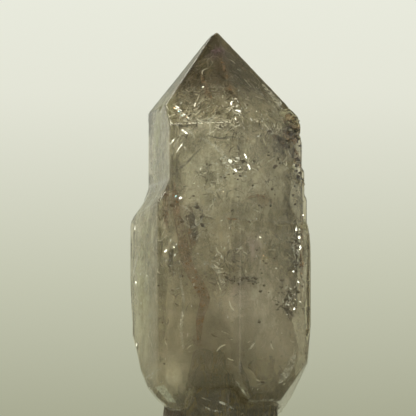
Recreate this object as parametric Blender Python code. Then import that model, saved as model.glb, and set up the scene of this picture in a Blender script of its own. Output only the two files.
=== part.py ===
"""A smoky amethyst sceptre: a six-sided quartz point that has overgrown the top of a narrower stem.

The crystal grew as one piece, so it is one solid. Each growth sector is a block that is trimmed by one
plane for each crystal face, as quartz is bounded by its own faces, and the sectors are then joined.
Azimuths are in degrees round the upright c axis: 0 faces the front (-Y) and 90 the right (+X). A tilt is
how far a face looks up, so a prism face has 0 and a face that overhangs has less than 0.
"""

import math
import random

import bmesh
import bpy
from mathutils import Matrix, Vector
from mathutils.bvhtree import BVHTree

MM = 0.001

# The heights that set the crystal's size, above the flat cut at the foot of the stem
TIP_HEIGHT = 92.6 * MM
SHOULDER_HEIGHT = 54.1 * MM
SKIRT_HEIGHT = 22.0 * MM
HEAD_FOOT_HEIGHT = 20.5 * MM
RIGHT_FOOT_HEIGHT = 17.9 * MM
LEFT_FOOT_HEIGHT = 16.5 * MM
FOOT_HEIGHT = 0.0

# The six prism faces of the head: azimuth, then distance from the c axis
FRONT_LEFT, FRONT_RIGHT, RIGHT, BACK, BACK_LEFT, LEFT = -16, 44, 104, 164, -136, -76
HEAD_RADII = {
    FRONT_LEFT: 16.2 * MM,
    FRONT_RIGHT: 16.2 * MM,
    RIGHT: 15.2 * MM,
    BACK: 15.4 * MM,
    BACK_LEFT: 12.3 * MM,
    LEFT: 12.1 * MM,
}

# Quartz ends in rhombohedral faces that stand 38 degrees off the c axis. These two values carry the
# small growth distortion that makes the left slope of the tip steeper than the right one.
RHOMB_TILT = 38.2
STEEP_TILT = 36.4
FLAT_TILT = 40.0
TIP_TILTS = {
    FRONT_LEFT: RHOMB_TILT,
    FRONT_RIGHT: RHOMB_TILT,
    RIGHT: FLAT_TILT,
    BACK: RHOMB_TILT,
    BACK_LEFT: STEEP_TILT,
    LEFT: STEEP_TILT,
}
SECTOR_INSET = 0.35 * MM

# The left lobe: where its two outer faces stand
LOBE_LEFT, LOBE_BACK_LEFT = -70, -130
LOBE_RADIUS = 15.2 * MM

# The stem: azimuth, distance from the c axis at the skirt, and the lean of that face
STEM_FACES = {
    FRONT_LEFT: (13.0 * MM, 1.0),
    FRONT_RIGHT: (12.0 * MM, 0.5),
    RIGHT: (10.8 * MM, 0.5),
    BACK: (11.8 * MM, 1.5),
    BACK_LEFT: (9.1 * MM, 6.0),
    LEFT: (8.6 * MM, 6.5),
}
STEM_TOP_HEIGHT = 40.0 * MM

# Outlines of the tapering lower ends of the head in millimetres, as distance from the c axis and height
LEFT_TAPER = [(17.0, 41.2), (16.6, 34.6), (15.6, 27.8), (14.8, 24.0), (13.5, 20.7), (11.6, 18.4), (10.2, 17.3)]
RIGHT_TAPER = [(18.8, 28.6), (18.5, 25.5), (16.9, 22.9), (15.3, 20.4), (13.8, 18.1), (12.3, 15.9)]
LEFT_TAPER_AZIMUTH, RIGHT_TAPER_AZIMUTH = -88, 84

# How far a natural face is out of true: its shift, and its lean as a slope
FACE_SHIFT = 0.03 * MM
FACE_LEAN = 0.0012

# Worn edges: how sharp and how long an edge is that a chip breaks out of, and how many chips there are
WORN_ANGLE = math.radians(25)
WORN_LENGTH = 2.5 * MM
EDGE_CHIPS = 30

# A gap smaller than this between two corners of the joined crystal is closed
WELD_GAP = 0.03 * MM

BLOCK = 0.4
SEED = 11


def outward(azimuth):
    turn = math.radians(azimuth)
    return Vector((math.sin(turn), -math.cos(turn), 0.0))


def face(azimuth, distance, height=0.0, tilt=0.0):
    """A crystal face, as a point on its plane and its outward normal."""
    lean = math.radians(tilt)
    point = outward(azimuth) * distance + Vector((0.0, 0.0, height))
    return point, outward(azimuth) * math.cos(lean) + Vector((0.0, 0.0, math.sin(lean)))


def foot_face(height):
    """The blunt lower end of a sector."""
    return face(0, 0.0, height, -90)


def tip_faces(inset=0.0):
    """The six faces of the tip, lowered by inset for the sectors that stay under it."""
    return [face(azimuth, 0.0, TIP_HEIGHT - inset, tilt) for azimuth, tilt in TIP_TILTS.items()]


def taper_faces(azimuth, outline, inset=0.0):
    """One face for each straight run of an outline of (distance, height) pairs in millimetres."""
    faces = []
    for (near_r, near_z), (far_r, far_z) in zip(outline, outline[1:]):
        lean = math.degrees(math.atan2(near_r - far_r, near_z - far_z))
        faces.append(face(azimuth, near_r * MM - inset, near_z * MM, -lean))
    return faces


def left_taper(inset=0.0):
    return taper_faces(LEFT_TAPER_AZIMUTH, LEFT_TAPER, inset)


def right_taper(inset=0.0):
    return taper_faces(RIGHT_TAPER_AZIMUTH, RIGHT_TAPER, inset)


def wander(faces, name):
    """Moves and leans each face a little, as the faces of a natural crystal are never quite true."""
    draw = random.Random(name)
    wandered = []
    for point, normal in faces:
        lean = Vector([draw.uniform(-FACE_LEAN, FACE_LEAN) for _ in range(3)])
        shift = normal * draw.uniform(-FACE_SHIFT, FACE_SHIFT)
        wandered.append((point + shift, (normal + lean).normalized()))
    return wandered


def trimmed_block(name, faces, collection, level_faces=()):
    """A block cut back to each face in turn, which leaves a closed convex crystal."""
    shape = bmesh.new()
    bmesh.ops.create_cube(shape, size=BLOCK)
    for point, normal in wander(faces, name) + list(level_faces):
        everything = shape.verts[:] + shape.edges[:] + shape.faces[:]
        cut = bmesh.ops.bisect_plane(
            shape, geom=everything, dist=1e-7, plane_co=point, plane_no=normal, clear_outer=True
        )
        rim = [item for item in cut["geom_cut"] if isinstance(item, bmesh.types.BMEdge)]
        if rim:
            bmesh.ops.contextual_create(shape, geom=rim)
    bmesh.ops.recalc_face_normals(shape, faces=shape.faces)
    return new_object(name, shape, collection)


def new_object(name, shape, collection):
    mesh = bpy.data.meshes.new(name)
    shape.to_mesh(mesh)
    shape.free()
    made = bpy.data.objects.new(name, mesh)
    collection.objects.link(made)
    return made


def new_collection(name):
    made = bpy.data.collections.new(name)
    bpy.context.scene.collection.children.link(made)
    return made


def make_head(name, collection):
    """The main sector of the head, with its six-sided tip and the overhanging skirt below."""
    faces = [face(azimuth, distance) for azimuth, distance in HEAD_RADII.items()]
    faces += tip_faces()
    worn_tip = face(-80, 2.0 * MM, TIP_HEIGHT - 2.05 * MM, 57)
    faces.append(worn_tip)
    faces += [face(azimuth, distance, SKIRT_HEIGHT, -RHOMB_TILT) for azimuth, distance in HEAD_RADII.items()]
    faces += right_taper(inset=0.4 * MM)
    faces.append(foot_face(HEAD_FOOT_HEIGHT))
    return trimmed_block(name, faces, collection)


def make_left_lobe(collection):
    """The outer sector on the left: it starts at the shoulder and ends in a rounded foot."""
    faces = [
        face(FRONT_LEFT + 3, 15.72 * MM),
        face(LOBE_LEFT, LOBE_RADIUS),
        face(LOBE_BACK_LEFT, LOBE_RADIUS - 0.2 * MM),
        face(BACK, 14.0 * MM),
        face(74, 3.0 * MM),
        face(74, -1.9 * MM, LEFT_FOOT_HEIGHT, -21.7),
        foot_face(LEFT_FOOT_HEIGHT),
    ]
    shoulder = [(-76.4, 15.9, 0.0, 32), (-130, 15.0, 0.6, 38), (-97, 17.2, -0.6, 12)]
    for azimuth, distance, rise, tilt in shoulder:
        faces.append(face(azimuth, distance * MM, SHOULDER_HEIGHT + rise * MM, tilt))
    faces += left_taper()
    foot_facet = face(-43, 17.5 * MM, 21.8 * MM, -30)
    faces.append(foot_facet)
    return trimmed_block("left_lobe", faces, collection)


def make_shoulder_fillet(collection):
    """The steeper upper part of the shoulder, which makes its ledge hollow."""
    faces = [
        face(FRONT_LEFT + 3, 15.58 * MM),
        face(LEFT, 13.4 * MM),
        face(BACK_LEFT, 13.6 * MM),
        face(BACK, 13.2 * MM),
        face(74, -2.6 * MM),
        face(LEFT, 13.0 * MM, 58.6 * MM, 17),
        face(BACK_LEFT, 13.2 * MM, 57.2 * MM, 19),
        foot_face(42 * MM),
    ]
    return trimmed_block("shoulder_fillet", faces + tip_faces(1.2 * MM), collection)


def make_right_lobe(collection):
    """The outer sector on the right, whose lower end is stepped back to the stem."""
    faces = [
        face(FRONT_LEFT, 15.9 * MM),
        face(FRONT_RIGHT, 16.45 * MM),
        face(RIGHT, 17.35 * MM),
        face(BACK, 13.4 * MM),
        face(LEFT, 1.0 * MM),
        face(FRONT_RIGHT, 16.45 * MM, 52.0 * MM, 30),
        face(RIGHT, 17.3 * MM, 49.0 * MM, 8),
        face(FRONT_RIGHT - 90, 9.3 * MM, SKIRT_HEIGHT, -41),
        face(FRONT_RIGHT, 16.45 * MM, RIGHT_FOOT_HEIGHT, -82),
    ]
    faces += right_taper() + tip_faces(SECTOR_INSET)
    return trimmed_block("right_lobe", faces, collection)


def make_right_steps(collection):
    """Stacked sectors that step the right side outwards on the way down."""
    steps = [(70.0, 15.55), (63.5, 16.1), (58.0, 16.75)]
    made = []
    for number, (top, distance) in enumerate(steps, 1):
        faces = [
            face(FRONT_LEFT, 15.6 * MM),
            face(FRONT_RIGHT, 15.7 * MM),
            face(RIGHT, distance * MM),
            face(BACK, 13.0 * MM - number * 0.35 * MM),
            face(LEFT, -4.0 * MM),
            face(RIGHT, distance * MM, top * MM, RHOMB_TILT),
            foot_face(25.0 * MM),
        ]
        faces += right_taper(inset=0.3 * MM) + tip_faces(SECTOR_INSET + number * 0.1 * MM)
        made.append(trimmed_block(f"right_step_{number}", faces, collection))
    return made


def make_back_lobes(collection):
    """Two lower sectors grown side by side on the back, each with its own slanted end."""
    lobes = [
        ("back_lobe_right", 16.4, 134, 63.0, (-76, 2.0), 19.3),
        ("back_lobe_left", 15.9, -166, 49.0, (74, 3.0), 21.7),
    ]
    made = []
    for name, distance, end_azimuth, end_height, (side, reach), foot in lobes:
        faces = [
            face(BACK, distance * MM),
            face(FRONT_LEFT, 6.0 * MM),
            face(FRONT_RIGHT, 8.5 * MM),
            face(side, reach * MM),
            face(RIGHT, 15.9 * MM),
            face(BACK_LEFT, 11.9 * MM),
            face(LEFT, 11.5 * MM),
            face(BACK, distance * MM, end_height * MM, RHOMB_TILT),
            face(end_azimuth, distance * MM, end_height * MM, 50),
            face(BACK, distance * MM, foot * MM, -RHOMB_TILT),
            foot_face((foot - 3.8) * MM),
        ]
        faces += right_taper(inset=0.2 * MM) + left_taper(inset=0.5 * MM)
        faces += tip_faces(SECTOR_INSET + distance * 0.02 * MM)
        made.append(trimmed_block(name, faces, collection))
    return made


def make_stem(collection):
    """The narrower, older stem, cut flat at the foot."""
    faces = []
    for azimuth, (distance, lean) in STEM_FACES.items():
        faces.append(face(azimuth, distance, SKIRT_HEIGHT, lean))
    faces.append(face(0, 0.0, STEM_TOP_HEIGHT, 90))
    level_foot = (Vector((0.0, 0.0, FOOT_HEIGHT)), Vector((0.0, 0.0, -1.0)))
    return trimmed_block("stem", faces, collection, [level_foot])


def make_plates(collection):
    """Thin growth plates: each lies on one prism face and ends in two slanted edges, as a small point."""
    draw = random.Random(SEED)
    plates = []
    sites = [
        (RIGHT, 17.35, (28, 44)),
        (BACK, 16.4, (30, 58)),
        (BACK, 15.9, (26, 44)),
        (LOBE_BACK_LEFT, 15.0, (28, 50)),
        (LOBE_LEFT, 15.2, (30, 50)),
    ]
    for number, (azimuth, radius, (low, high)) in enumerate(sites, 1):
        rise = draw.uniform(0.14, 0.30)
        middle = draw.uniform(-3.5, 3.5)
        width = draw.uniform(1.8, 3.8)
        foot = draw.uniform(low, low + 0.35 * (high - low))
        top = draw.uniform(high - 0.35 * (high - low), high)
        faces = [
            face(azimuth, (radius + rise) * MM),
            face(azimuth + 180, -(radius - 3.0) * MM),
            face(azimuth + 90, (middle + width) * MM),
            face(azimuth - 90, (width - middle) * MM),
            face(azimuth + 90, (middle + width * 0.6) * MM, top * MM, RHOMB_TILT),
            face(azimuth - 90, (width * 0.7 - middle) * MM, top * MM, RHOMB_TILT),
            face(azimuth + 90, (middle + width * 0.5) * MM, foot * MM, -RHOMB_TILT),
            face(azimuth - 90, (width * 0.8 - middle) * MM, foot * MM, -RHOMB_TILT),
        ]
        plates.append(trimmed_block(f"growth_plate_{number}", faces, collection))
    return plates


def chip_cutter(name, centre, along, away, size, draw, collection):
    """A flattened faceted ball that scoops a shell-shaped chip out of an edge, longest along it."""
    shape = bmesh.new()
    bmesh.ops.create_icosphere(shape, subdivisions=2, radius=1.0)
    squash = (size * draw.uniform(1.0, 2.2), size * draw.uniform(0.6, 1.0), size * draw.uniform(0.5, 0.8))
    bmesh.ops.scale(shape, verts=shape.verts, vec=squash)
    across = away.cross(along).normalized()
    axes = Matrix((along.normalized(), across, away)).transposed().to_4x4()
    roll = Matrix.Rotation(draw.uniform(-0.5, 0.5), 4, "Z")
    made = new_object(name, shape, collection)
    made.matrix_world = Matrix.Translation(centre) @ axes @ roll
    return made


def make_rough_patch(whole, collection):
    """The broken patch under the right slope of the tip, set where a line from the side meets it."""
    draw = random.Random(SEED + 1)
    skin = BVHTree.FromObject(whole, bpy.context.evaluated_depsgraph_get())
    notch = [(66, 74.0, 1.9), (72, 76.4, 1.5)]
    patch = [(draw.uniform(58, 84), draw.uniform(64.0, 75.0), draw.uniform(0.6, 1.5)) for _ in range(12)]
    for number, (azimuth, height, size) in enumerate(notch + patch, 1):
        outside, from_side = face(azimuth, 60 * MM, height * MM)
        hit, away, _, _ = skin.ray_cast(outside, -from_side)
        centre = hit + away * size * 0.25 * MM
        chip_cutter(f"patch_chip_{number}", centre, away.orthogonal(), away, size * MM, draw, collection)


def make_edge_chips(whole, collection):
    """Chips along the worn edges of the sides, back and foot. The clean front edges keep out of it."""
    draw = random.Random(SEED + 2)
    shape = bmesh.new()
    shape.from_object(whole, bpy.context.evaluated_depsgraph_get())
    shape.edges.ensure_lookup_table()
    worn = []
    for edge in shape.edges:
        middle = (edge.verts[0].co + edge.verts[1].co) / 2
        at_front = middle.dot(outward(-16)) > 12 * MM and middle.z > SKIRT_HEIGHT
        in_reach = 3 * MM < middle.z < 80 * MM and edge.calc_length() > WORN_LENGTH
        if in_reach and not at_front and edge.is_convex and edge.calc_face_angle() > WORN_ANGLE:
            worn.append(edge)
    lengths = [edge.calc_length() for edge in worn]
    for number in range(1, EDGE_CHIPS + 1):
        edge = draw.choices(worn, weights=lengths)[0]
        start, end = edge.verts[0].co, edge.verts[1].co
        away = (edge.link_faces[0].normal + edge.link_faces[1].normal).normalized()
        size = draw.uniform(0.35, 0.95) * MM
        centre = start.lerp(end, draw.uniform(0.12, 0.88)) + away * size * 0.2
        chip_cutter(f"edge_chip_{number}", centre, end - start, away, size, draw, collection)
    shape.free()


def join_all(target, others):
    joined = target.modifiers.new("grown_together", "BOOLEAN")
    joined.operation = "UNION"
    joined.operand_type = "COLLECTION"
    joined.collection = others
    joined.solver = "EXACT"
    weld = target.modifiers.new("closed_gaps", "WELD")
    weld.merge_threshold = WELD_GAP


def cut_each(target, cutters):
    """One cut for each cutter, because cutters that overlap each other can't share one."""
    for cutter in cutters:
        cut = target.modifiers.new(cutter.name, "BOOLEAN")
        cut.operation = "DIFFERENCE"
        cut.object = cutter
        cut.solver = "EXACT"


def centre_on_foot(crystal):
    """Moves the crystal so that its bounding box is centred over the origin and it stands on z = 0."""
    bpy.context.view_layer.update()
    graph = bpy.context.evaluated_depsgraph_get()
    corners = [Vector(corner) for corner in crystal.evaluated_get(graph).bound_box]
    low = Vector([min(corner[axis] for corner in corners) for axis in range(3)])
    high = Vector([max(corner[axis] for corner in corners) for axis in range(3)])
    middle = (low + high) / 2
    shift = Vector((-middle.x, -middle.y, -low.z))
    for item in bpy.data.objects:
        item.location += shift


def smoky_amethyst():
    """Clear quartz of a brownish grey, with a trace of violet."""
    made = bpy.data.materials.new("smoky_amethyst")
    made.use_nodes = True
    shader = made.node_tree.nodes["Principled BSDF"]
    shader.inputs["Base Color"].default_value = (0.42, 0.39, 0.34, 1.0)
    shader.inputs["Roughness"].default_value = 0.12
    shader.inputs["Metallic"].default_value = 0.0
    shader.inputs["IOR"].default_value = 1.544
    shader.inputs["Transmission Weight"].default_value = 0.85
    return made


def main():
    for item in list(bpy.data.objects):
        bpy.data.objects.remove(item)
    crystals = new_collection("amethyst_point")
    sectors = new_collection("growth_sectors")
    chips = new_collection("chip_cutters")

    crystal = make_head("amethyst_crystal", crystals)
    make_stem(sectors)
    make_left_lobe(sectors)
    make_shoulder_fillet(sectors)
    make_right_lobe(sectors)
    make_right_steps(sectors)
    make_back_lobes(sectors)
    make_plates(sectors)
    join_all(crystal, sectors)
    bpy.context.view_layer.update()
    make_rough_patch(crystal, chips)
    make_edge_chips(crystal, chips)
    cut_each(crystal, list(chips.objects))
    for helper in list(sectors.objects) + list(chips.objects):
        helper.hide_render = True
        helper.display_type = "WIRE"
    centre_on_foot(crystal)
    crystal.data.materials.append(smoky_amethyst())


main()
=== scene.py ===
"""Looks of a smoky amethyst sceptre: clear quartz in fine relief, and what has grown and healed inside it.

Positions are in millimetres. "across" is measured to the right of the crystal's c axis as seen from the
front, "up" from its foot, and "depth" below the front surface, along the line of sight bent by the quartz.
"""

import math
import random

import bmesh
import bpy
import numpy as np
from mathutils import Matrix, Vector, noise
from mathutils.bvhtree import BVHTree


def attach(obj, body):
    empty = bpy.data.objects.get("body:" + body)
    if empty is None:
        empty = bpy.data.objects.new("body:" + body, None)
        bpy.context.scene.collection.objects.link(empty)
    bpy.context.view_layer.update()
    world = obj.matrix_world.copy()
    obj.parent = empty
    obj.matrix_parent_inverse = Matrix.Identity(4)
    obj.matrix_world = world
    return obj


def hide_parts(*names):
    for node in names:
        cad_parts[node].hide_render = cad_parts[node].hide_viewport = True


MM = 0.001
QUARTZ_IOR = 1.544

# Where the crystal's c axis stands in the frame: x and y.
C_AXIS = (-0.907, 0.628)

# The camera: its aim beside the axis and above the foot, how far it looks up, its distance and its lens.
CAMERA_ACROSS = -1.46
CAMERA_AIM_HEIGHT = 56.6
CAMERA_PITCH = math.radians(4.4)
CAMERA_DISTANCE = 578.0
CAMERA_LENS = 250.0
SENSOR_WIDTH = 36.0

# The backdrop's colours by how steeply the view goes: 0 is level and 1 straight up.
BACKDROP = [
    (-0.30, (0.300, 0.305, 0.225)),
    (0.000, (0.380, 0.390, 0.276)),
    (0.052, (0.553, 0.566, 0.440)),
    (0.115, (0.770, 0.778, 0.672)),
    (0.165, (0.830, 0.845, 0.745)),
    (0.220, (0.480, 0.485, 0.385)),
    (0.600, (0.420, 0.415, 0.300)),
    (1.000, (0.240, 0.235, 0.160)),
]

# Soft lights: name, azimuth and elevation in degrees, distance and size in metres, and power in watts.
LIGHTS = [
    ("key_left", -68.0, 40.0, 1.0, (0.6, 0.8), 11.5),
    ("key_right", 38.0, 48.0, 1.0, (0.5, 0.5), 8.0),
    ("rim_left", -142.0, 46.0, 0.9, (0.5, 0.5), 1.8),
    ("front_fill", 25.0, 5.0, 1.3, (0.5, 0.5), 1.1),
]
LIGHT_TINT = (1.0, 0.98, 0.87)
LIGHT_AIM_HEIGHT = 50.0

# Azimuth and elevation of the lights that the films inside mirror.
KEY_LIGHTS = [(azimuth, elevation) for name, azimuth, elevation, *_ in LIGHTS if name.startswith("key")]

# The floor: its radius and where it starts to fade out, in metres, and how far it lies under the foot.
FLOOR_RADIUS = 0.9
FLOOR_FADE = 0.45
FLOOR_DROP = 0.05
FLOOR_COLOUR = (0.32, 0.33, 0.265)

SEED = 7

# The skin: the size of its faces and the most that each kind of relief raises it.
VOXEL = 0.37
GROWTH_LINES = 0.012
FINE_LINES = 0.006
SLOW_WAVES = 0.030
ETCHED_GRAIN = 0.008
SKIN_INSET = 0.03

# The skin's material: clear and smoky growth zones, iron stain, and the smoke inside and its density.
CLEAR_QUARTZ = (0.97, 0.96, 0.93)
SMOKY_QUARTZ = (0.90, 0.88, 0.82)
IRON_STAIN = (0.55, 0.36, 0.17)
SMOKE_COLOUR = (0.60, 0.52, 0.28)
SMOKE_DENSITY = 38.0

# The cloud's colours: its dark and pale mottling, the even lower third, the tip and the part above the stem.
CLOUD_DARK = (0.23, 0.20, 0.125)
CLOUD_PALE = (0.59, 0.55, 0.42)
CALM_COLOUR = (0.48, 0.42, 0.31)
TIP_COLOUR = (0.072, 0.043, 0.018)
FOOT_COLOUR = (0.12, 0.10, 0.05)

# Where the last three set in: two heights, and how much of the colour there is at each.
CALM_RANGE = (48.0, 34.0, 0.0, 0.8)
TIP_RANGE = (73.0, 82.0, 0.0, 0.92)
FOOT_RANGE = (24.0, 16.0, 0.0, 0.6)

# How the cloud thins out towards the back: two places in y, and the share that is left at each.
REAR_RANGE = (0.0, 12.0, 1.0, 0.65)

# How dense the even lower third is, as a share of the densest cloud above it.
CALM_SHARE = 0.62

# Fine cracks in the cloud: waves per millimetre, width, colour and strength.
CLOUD_CRACKS = [
    (0.42, 0.035, (0.80, 0.78, 0.66), 0.8),
    (0.30, 0.030, (0.07, 0.055, 0.03), 0.7),
]

# The heights where these cracks are faintest and strongest, and their share where they are faintest.
CRACK_HEIGHTS = (34.0, 48.0)
CRACK_FAINTEST = 0.2

# The cloud's meshes: the size of their faces, first rough and then final, and how often the rough ones are
# smoothed.
CLOUD_ROUGH_VOXEL = 1.0
CLOUD_VOXEL = 0.6
CLOUD_ROUNDING = 6

# How far below the surface the middle of each tinted zone lies.
ZONE_DEPTH = 3.0

# Large veils: how many, the height of the lowest, the step between them, their waves and the room left.
VEIL_COUNT = 9
VEIL_LOWEST = 26.0
VEIL_STEP = 5.6
VEIL_WAVE = 2.6
VEIL_MARGIN = 0.5

# Half the thickness of a bright film.
FLAKE_HALF = 0.012

# How a place beside the outline is brought in to it: the share of its distance from the axis that each step
# keeps, and how far each step goes down while the place is above this height.
STEP_INWARD = 0.97
STEP_DOWN = 0.2
STEP_DOWN_ABOVE = 80.0

# Tints of the cloud inside, one of them a painted reflection: across, up, reach along each axis, colour and
# strength.
CLOUD_ZONES = [
    (-2.5, 63.0, (13.0, 14.0, 14.0), (0.85, 0.84, 0.69), 0.72),
    (9.0, 64.0, (9.0, 12.0, 11.0), (0.78, 0.74, 0.58), 0.8),
    (9.5, 35.0, (10.0, 12.0, 15.0), (1.00, 0.94, 0.84), 1.0),
    (-7.0, 38.0, (8.0, 9.0, 18.0), (0.62, 0.57, 0.41), 0.7),
    (2.0, 50.0, (9.0, 10.0, 10.0), (0.66, 0.60, 0.46), 0.7),
    # This pale tint on the left faces is a painted reflection of the pale backdrop.
    (-15.0, 42.0, (7.0, 14.0, 34.0), (0.84, 0.86, 0.64), 1.0),
    (-11.5, 69.0, (4.0, 12.0, 16.0), (0.48, 0.50, 0.25), 0.95),
    (1.5, 24.5, (12.0, 14.0, 12.0), (0.16, 0.135, 0.06), 0.9),
    (10.0, 24.0, (6.0, 10.0, 7.0), (0.52, 0.47, 0.31), 0.85),
    (-8.8, 21.5, (7.0, 9.0, 9.0), (0.90, 0.86, 0.66), 1.0),
    (-4.5, 84.0, (7.0, 9.0, 8.5), (0.082, 0.056, 0.024), 0.9),
    (3.5, 84.0, (9.0, 9.0, 9.0), (0.095, 0.070, 0.034), 0.9),
    (0.1, 88.5, (2.8, 4.0, 3.6), (0.15, 0.075, 0.12), 0.85),
    (5.1, 81.8, (1.8, 3.0, 1.8), (0.22, 0.26, 0.10), 0.7),
    (-1.8, 85.0, (2.4, 4.0, 4.0), (0.22, 0.19, 0.08), 0.7),
    (7.4, 48.4, (3.8, 5.0, 4.6), (0.60, 0.48, 0.52), 0.7),
    (5.6, 40.4, (2.4, 4.0, 5.0), (0.52, 0.42, 0.46), 0.6),
    (9.9, 46.8, (2.0, 3.0, 2.2), (0.62, 0.50, 0.26), 0.7),
    (15.6, 70.0, (3.2, 5.0, 8.0), (0.20, 0.15, 0.08), 0.85),
    (16.6, 47.0, (2.4, 5.0, 10.0), (0.26, 0.21, 0.12), 0.7),
    (17.2, 60.0, (2.4, 5.0, 9.0), (0.26, 0.21, 0.12), 0.7),
    (-8.0, 57.0, (3.0, 5.0, 6.5), (0.24, 0.165, 0.085), 0.9),
    (-6.2, 48.0, (2.8, 5.0, 6.5), (0.24, 0.165, 0.085), 0.9),
    (-3.0, 39.0, (2.6, 5.0, 6.5), (0.26, 0.185, 0.10), 0.85),
    (-3.2, 31.0, (2.6, 5.0, 5.0), (0.26, 0.20, 0.11), 0.6),
    (9.5, 58.2, (3.0, 4.0, 2.4), (0.38, 0.25, 0.13), 0.7),
    (15.4, 74.0, (2.6, 4.0, 2.8), (0.34, 0.17, 0.07), 0.8),
]

# Films that mirror the lights: across, up, depth, length, width and turn in degrees.
BRIGHT_FLAKES = [
    (-7.7, 77.0, 0.8, 1.5, 0.35, -38.0),
    (-7.1, 76.4, 1.0, 1.3, 0.30, -40.0),
    (-6.2, 75.4, 0.8, 0.8, 0.30, -30.0),
    (-5.4, 74.8, 0.9, 0.6, 0.30, 10.0),
    (-4.1, 77.4, 0.9, 1.3, 0.28, 80.0),
    (-2.5, 81.0, 1.2, 0.7, 0.35, 20.0),
    (3.2, 77.6, 0.9, 1.5, 0.35, 85.0),
    (4.3, 78.6, 0.9, 0.8, 0.40, 10.0),
    (4.6, 76.2, 0.9, 1.3, 0.55, -20.0),
    (3.0, 66.0, 0.8, 1.2, 0.80, -40.0),
    (4.0, 64.2, 0.8, 1.1, 0.45, -50.0),
    (6.1, 67.0, 0.8, 1.5, 0.35, -62.0),
    (6.8, 64.8, 0.8, 1.7, 0.55, -62.0),
    (-8.6, 70.0, 0.7, 2.8, 0.28, 55.0),
    (-7.4, 68.4, 0.7, 3.4, 0.26, 55.0),
    (-6.2, 72.0, 0.9, 2.2, 0.30, -35.0),
    (-7.0, 58.6, 0.8, 1.2, 0.45, 20.0),
    (-9.9, 48.0, 0.7, 1.0, 0.60, 40.0),
    (-16.1, 52.6, 0.5, 1.3, 0.40, 85.0),
    (-15.9, 41.6, 0.5, 1.0, 0.40, 85.0),
    (-15.7, 29.2, 0.5, 0.9, 0.40, 85.0),
    (16.2, 52.4, 0.6, 1.0, 0.60, 60.0),
    (16.8, 50.6, 0.6, 1.2, 0.60, -40.0),
    (17.0, 48.8, 0.6, 1.0, 0.55, -70.0),
    (15.6, 43.9, 0.6, 0.9, 0.55, 20.0),
    (16.6, 41.8, 0.6, 0.8, 0.40, -30.0),
    (15.8, 36.4, 0.6, 0.9, 0.35, 50.0),
    (14.6, 37.2, 0.6, 0.8, 0.30, -10.0),
]

# Films that split the light into colours, in the same columns.
RAINBOW_FLAKES = [
    (-8.1, 76.7, 0.9, 1.1, 0.30, -38.0),
    (-7.4, 76.1, 0.9, 0.9, 0.25, -40.0),
    (-6.6, 75.2, 0.8, 0.6, 0.28, -30.0),
    (-5.7, 74.9, 0.9, 0.5, 0.25, 15.0),
    (-7.9, 59.0, 0.8, 0.6, 0.30, 60.0),
    (9.6, 47.0, 0.9, 0.5, 0.30, 20.0),
]

# Clusters of small sparks: across, up, reach across, reach up and count.
SPARK_FIELDS = [
    (-3.0, 76.6, 7.0, 2.4, 24),
    (4.2, 77.2, 2.2, 2.2, 26),
    (3.6, 65.4, 4.0, 2.4, 30),
    (-1.0, 63.0, 8.0, 6.0, 22),
    (16.4, 48.5, 1.4, 6.5, 46),
    (15.6, 38.0, 1.8, 3.4, 22),
    (9.0, 74.0, 5.5, 3.0, 24),
    (-9.0, 47.0, 2.0, 4.0, 12),
    (0.0, 50.0, 9.0, 9.0, 26),
]

# Dark grains and pores: across, up, depth, size and squash.
DARK_GRAINS = [
    (-1.9, 89.1, 0.5, 0.50, 0.7),
    (-2.6, 85.6, 0.8, 0.35, 0.7),
    (-3.7, 56.8, 1.4, 1.35, 0.5),
    (-2.7, 54.8, 1.4, 0.90, 0.5),
    (-2.5, 53.2, 1.4, 1.10, 0.6),
    (1.0, 73.0, 1.2, 0.55, 0.7),
    (7.8, 66.0, 1.0, 0.60, 0.6),
    (9.6, 46.0, 1.0, 0.45, 0.6),
    (9.5, 21.8, 0.8, 0.85, 0.6),
    (-6.5, 43.0, 1.5, 0.90, 0.4),
    (-5.6, 41.4, 1.5, 0.70, 0.4),
    (12.9, 70.4, 0.7, 1.30, 0.5),
    (15.7, 72.8, 0.6, 1.90, 0.5),
    (15.2, 71.6, 0.6, 1.30, 0.5),
    (15.9, 68.2, 0.6, 1.20, 0.5),
    (16.5, 66.4, 0.6, 1.20, 0.5),
    (10.9, 72.0, 0.8, 0.80, 0.5),
    (14.9, 69.8, 0.7, 0.90, 0.5),
    (17.0, 63.6, 0.5, 0.80, 0.5),
]

# Fields of small dark specks: across, up, reach across, reach up and count.
SPECK_FIELDS = [
    (15.4, 71.5, 1.8, 5.5, 90),
    (12.8, 67.5, 2.2, 2.4, 42),
    (16.6, 62.5, 1.2, 5.0, 40),
    (16.8, 46.0, 1.2, 7.0, 60),
    (3.0, 42.6, 1.4, 1.4, 26),
    (6.8, 42.2, 2.2, 1.2, 30),
    (13.8, 38.4, 2.0, 2.8, 44),
    (5.0, 81.5, 3.5, 5.0, 40),
    (0.5, 58.0, 9.0, 16.0, 60),
    (9.0, 50.0, 6.0, 18.0, 50),
]

# The long iron-stained band down the middle, from its top end.
LONG_BAND = [
    (-8.3, 61.5),
    (-7.7, 55.8),
    (-6.7, 51.2),
    (-5.7, 45.8),
    (-3.1, 40.8),
    (-2.1, 38.2),
    (-3.1, 34.2),
    (-3.3, 29.0),
]

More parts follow.
